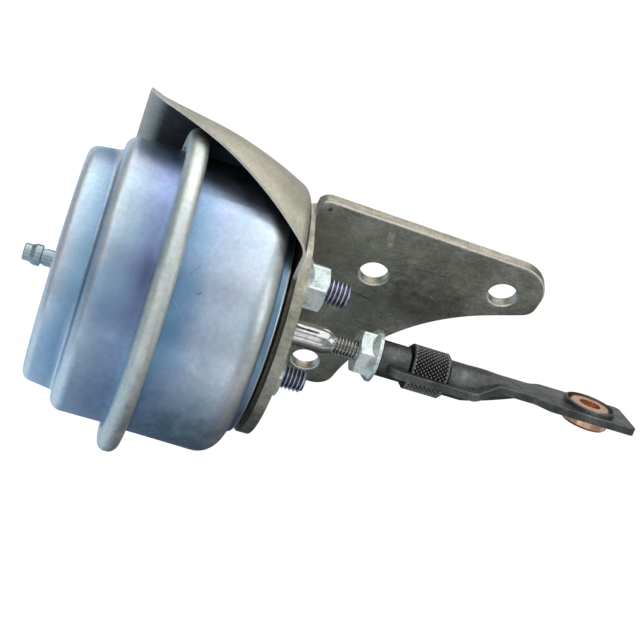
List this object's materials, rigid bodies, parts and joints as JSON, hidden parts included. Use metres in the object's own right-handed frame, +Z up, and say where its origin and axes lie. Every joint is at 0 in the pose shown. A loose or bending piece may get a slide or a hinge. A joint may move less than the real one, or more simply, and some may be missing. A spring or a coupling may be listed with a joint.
{
  "type": "turbocharger wastegate vacuum actuator",
  "caption": "Vacuum can with crimped diaphragm rim, heat shield, angled bracket and an adjustable push rod that ends in a bushed eye.",
  "frame": {"origin": "centre of the bracket ear's first screw hole, at the mounting face", "axes": "+X along the push rod towards the eye, +Y out of the ear's mounting face, +Z up"},
  "size_m": [0.1508, 0.0822, 0.0775],
  "materials": {
    "can_zinc": "satin",
    "bracket_steel": "satin",
    "nut_zinc": "satin",
    "stud_steel": "satin",
    "rod_steel": "polished",
    "link_black": "satin",
    "bush_bronze": "satin",
    "rubber_black": "matte",
    "inner_steel": "satin"
  },
  "bodies": {
    "housing": {"cover_cup": "can_zinc", "body_cup": "can_zinc", "crimp_ring": "can_zinc", "hose_nipple": "can_zinc", "stud_plate": "can_zinc", "mounting_studs": "stud_steel", "stud_nuts": "nut_zinc", "heat_shield": "bracket_steel", "bracket": "bracket_steel", "spring_seat": "inner_steel", "guide_bush": "bush_bronze", "rod_seal": "rubber_black", "seal_retainer": "inner_steel"},
    "plunger": {"rod": "rod_steel", "piston_cup": "inner_steel", "diaphragm_retainer": "inner_steel", "rivet_washer": "inner_steel", "diaphragm": "rubber_black", "return_spring": "inner_steel"},
    "jam_nut": {"jam_nut": "nut_zinc"},
    "rod_end": {"link": "link_black"},
    "adjuster": {"adjuster_nut": "link_black"},
    "eye_bush": {"eye_bush": "bush_bronze"}
  },
  "joints": [
    {"name": "rod_stroke", "type": "slide", "parent": "housing", "child": "plunger", "axis": [1, 0, 0], "range_m": [-0.012, 0], "stiffness_N_per_m": 4000, "deforming": ["return_spring", "diaphragm"]},
    {"name": "link_slide", "type": "slide", "parent": "plunger", "child": "rod_end", "axis": [1, 0, 0], "range_m": [-0.0005, 0.003]},
    {"name": "adjuster_spin", "type": "hinge", "parent": "rod_end", "child": "adjuster", "pos_m": [0.018, -0.0188, -0.0101], "axis": [1, 0, 0], "range_deg": [-225, 1350]},
    {"name": "jam_nut_spin", "type": "hinge", "parent": "plunger", "child": "jam_nut", "pos_m": [0.0027, -0.0188, -0.0101], "axis": [1, 0, 0], "range_deg": [-720, 225]},
    {"name": "bush_spin", "type": "hinge", "parent": "rod_end", "child": "eye_bush", "pos_m": [0.0603, -0.0188, -0.0101], "axis": [0, 0.5, 0.866], "continuous": true}
  ],
  "couplings": [
    {"joint": "adjuster_spin", "follows": "link_slide", "rad_per_m": 7854}
  ]
}
